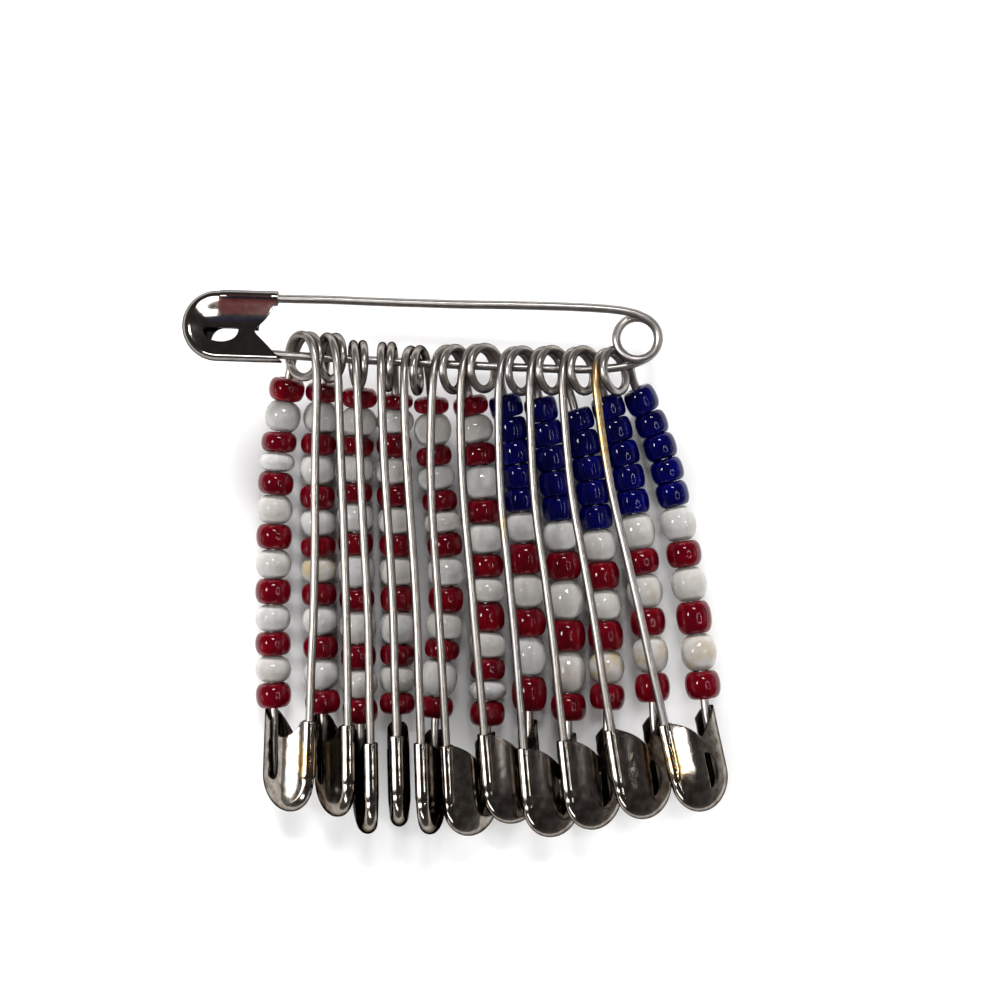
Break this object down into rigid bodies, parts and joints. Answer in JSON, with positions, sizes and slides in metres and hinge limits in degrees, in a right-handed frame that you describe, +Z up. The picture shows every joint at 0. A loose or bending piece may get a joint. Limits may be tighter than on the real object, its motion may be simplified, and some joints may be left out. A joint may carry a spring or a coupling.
{
  "type": "safety pin brooch",
  "caption": "Flag brooch: a safety pin along the top carries a row of hanging safety pins, each with a column of red, white and blue glass beads",
  "frame": {"origin": "middle of the overall box at the surface that the brooch lies on", "axes": "+Z up from the surface, +X along the carrying pin from its cap to its coil, +Y from the beads to the carrying pin"},
  "size_m": [0.0432, 0.0434, 0.0071],
  "materials": {
    "steel_wire": "nickel plated steel wire, polished",
    "steel_cap": "nickel plated steel sheet, pressed and polished",
    "red_glass": "transparent ruby red glass, fire polished",
    "white_glass": "opaque white glass, glossy",
    "blue_glass": "dark transparent cobalt blue glass, glossy"
  },
  "bodies": {
    "beaded_needle": {"carrying_needle": "steel_wire", "pin_wire_01": "steel_wire", "pin_wire_02": "steel_wire", "pin_wire_03": "steel_wire", "pin_wire_04": "steel_wire", "pin_wire_05": "steel_wire", "pin_wire_06": "steel_wire", "pin_wire_07": "steel_wire", "pin_wire_08": "steel_wire", "pin_wire_09": "steel_wire", "pin_wire_10": "steel_wire", "pin_wire_11": "steel_wire", "pin_cap_01": "steel_cap", "pin_cap_02": "steel_cap", "pin_cap_03": "steel_cap", "pin_cap_04": "steel_cap", "pin_cap_05": "steel_cap", "pin_cap_06": "steel_cap", "pin_cap_07": "steel_cap", "pin_cap_08": "steel_cap", "pin_cap_09": "steel_cap", "pin_cap_10": "steel_cap", "pin_cap_11": "steel_cap", "red_beads_01": "red_glass", "red_beads_02": "red_glass", "red_beads_03": "red_glass", "red_beads_04": "red_glass", "red_beads_05": "red_glass", "red_beads_06": "red_glass", "red_beads_07": "red_glass", "red_beads_08": "red_glass", "red_beads_09": "red_glass", "red_beads_10": "red_glass", "red_beads_11": "red_glass", "white_beads_01": "white_glass", "white_beads_02": "white_glass", "white_beads_03": "white_glass", "white_beads_04": "white_glass", "white_beads_05": "white_glass", "white_beads_06": "white_glass", "white_beads_07": "white_glass", "white_beads_08": "white_glass", "white_beads_09": "white_glass", "white_beads_10": "white_glass", "white_beads_11": "white_glass", "blue_beads_07": "blue_glass", "blue_beads_08": "blue_glass", "blue_beads_09": "blue_glass", "blue_beads_10": "blue_glass", "blue_beads_11": "blue_glass"},
    "clasp": {"carrying_spine": "steel_wire", "carrying_cap": "steel_cap"}
  },
  "joints": [
    {"name": "carrying_pin_opens", "type": "hinge", "parent": "beaded_needle", "child": "clasp", "pos_m": [0.01524, 0.01644, 0.00347], "axis": [0.0305, 0.9995, 0], "range_deg": [0, 20]}
  ]
}
